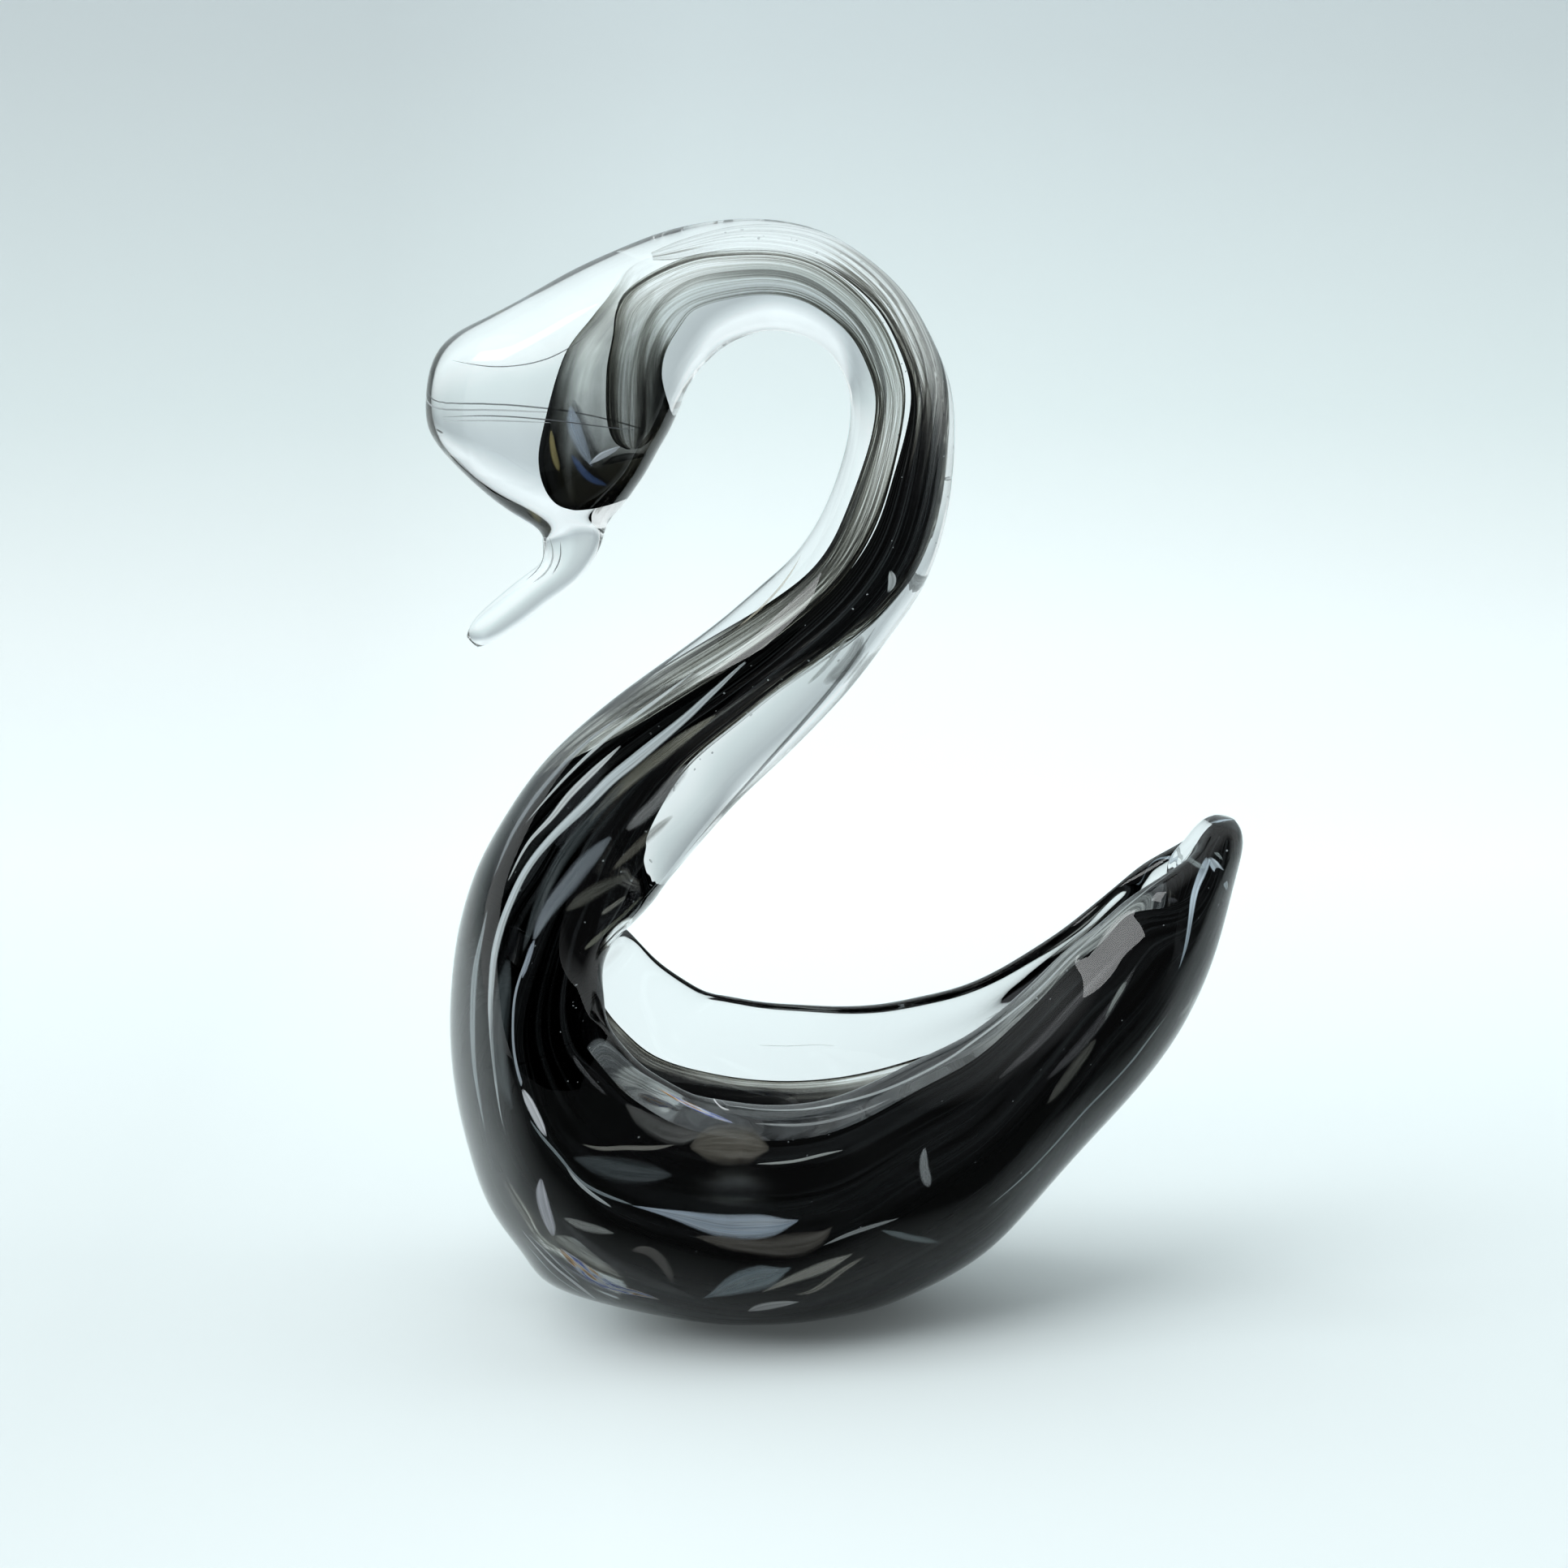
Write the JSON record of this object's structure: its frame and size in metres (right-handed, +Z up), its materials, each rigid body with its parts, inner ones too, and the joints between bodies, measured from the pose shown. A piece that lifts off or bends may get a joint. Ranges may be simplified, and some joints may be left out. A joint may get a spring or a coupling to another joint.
{
  "type": "cased glass swan dish",
  "caption": "Hand-made solid glass swan with an open bowl for a body, a long curved neck and a pointed beak; clear glass cased over smoke-grey glass, on a ground flat foot.",
  "frame": {"origin": "middle of the bounding box's bottom face, on the table under the bowl", "axes": "+Z up, the head looks along -X, the tail points along +X, the two sides mirror across the XZ plane"},
  "size_m": [0.1314, 0.0716, 0.1795],
  "materials": {
    "clear_glass": "fire-polished clear glass, ground flat under the foot",
    "smoke_glass": "dense smoke-grey glass, streaked along the pull",
    "pale_smoke_glass": "thin smoke-grey glass with lighter streaks"
  },
  "bodies": {
    "root": {"bowl_casing": "clear_glass", "bowl_lining": "smoke_glass", "neck_casing": "clear_glass", "core_front": "pale_smoke_glass", "core_rear": "smoke_glass", "head_bulb": "pale_smoke_glass", "beak": "clear_glass"}
  },
  "joints": []
}
